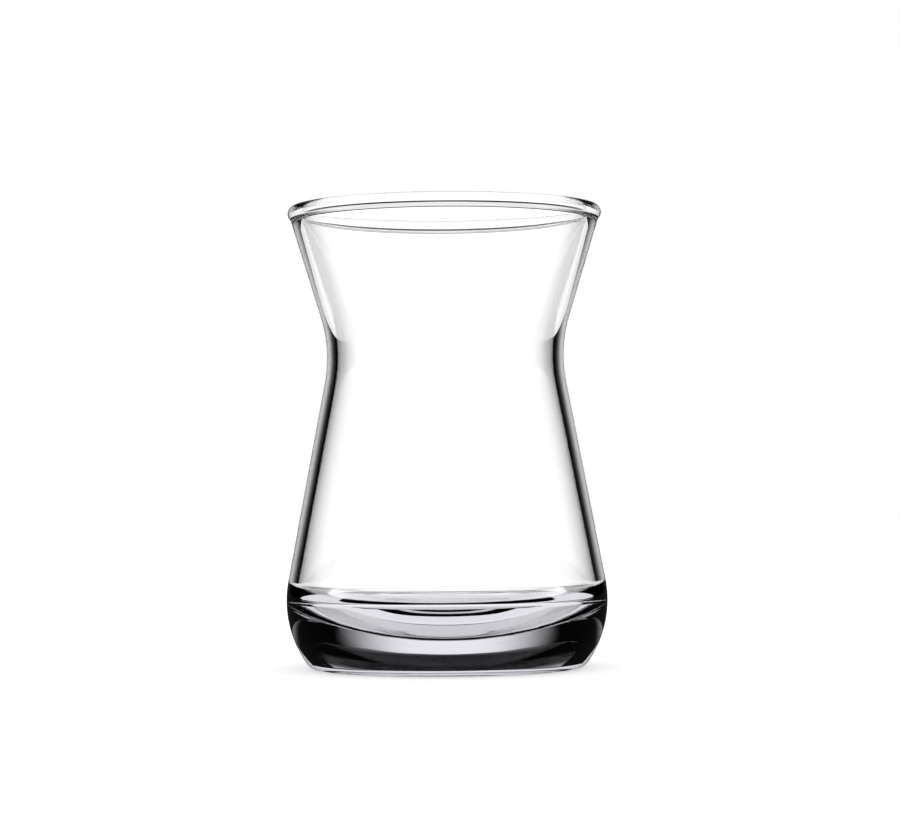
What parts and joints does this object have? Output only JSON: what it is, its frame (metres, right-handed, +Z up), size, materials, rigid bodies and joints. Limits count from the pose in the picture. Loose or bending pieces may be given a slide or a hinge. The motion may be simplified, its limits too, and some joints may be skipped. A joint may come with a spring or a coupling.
{
  "type": "turkish tea glass",
  "caption": "Empty waisted tea glass of clear glass, with a flared bowl, a rounded rim bead and a thick rounded base.",
  "frame": {"origin": "on the glass's axis, in the plane of the standing ring", "axes": "+Z up along the glass's axis, from the base to the rim; the glass is round, so X and Y are any two level directions"},
  "size_m": [0.0604, 0.0604, 0.087],
  "materials": {
    "glass": "clear, fire-polished"
  },
  "bodies": {
    "root": {"glass": "glass"}
  },
  "joints": []
}
